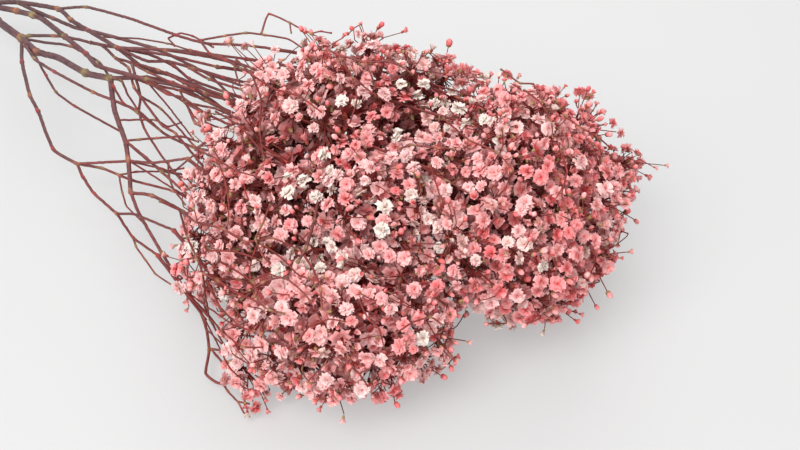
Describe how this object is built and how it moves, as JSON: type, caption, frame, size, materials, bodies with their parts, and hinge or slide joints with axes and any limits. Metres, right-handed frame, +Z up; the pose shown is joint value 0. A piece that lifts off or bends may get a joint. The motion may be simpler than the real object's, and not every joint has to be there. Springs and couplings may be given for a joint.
{
  "type": "dried flower stem",
  "caption": "Much-branched woody stem lying down, its forks fanning out into a dense cloud of small double florets on fine stalks.",
  "frame": {"origin": "middle of the outline, on the surface that the stem lies on", "axes": "+X runs along the stem from its cut end to the floret tips, +Y across the flower head, +Z up from the surface"},
  "size_m": [0.4679, 0.177, 0.087],
  "materials": {
    "bark": "dyed dry bark",
    "petals": "dyed, dry and matte"
  },
  "bodies": {
    "root": {"spray_01": "petals", "spray_02": "petals", "spray_03": "petals", "spray_04": "petals", "spray_05": "petals", "spray_06": "petals", "spray_07": "petals", "spray_08": "petals", "spray_09": "petals", "spray_10": "petals", "spray_11": "petals", "spray_12": "petals", "spray_13": "petals", "spray_14": "petals", "spray_15": "petals", "spray_16": "petals", "spray_17": "petals", "spray_18": "petals", "spray_19": "petals", "stem": "bark"}
  },
  "joints": []
}
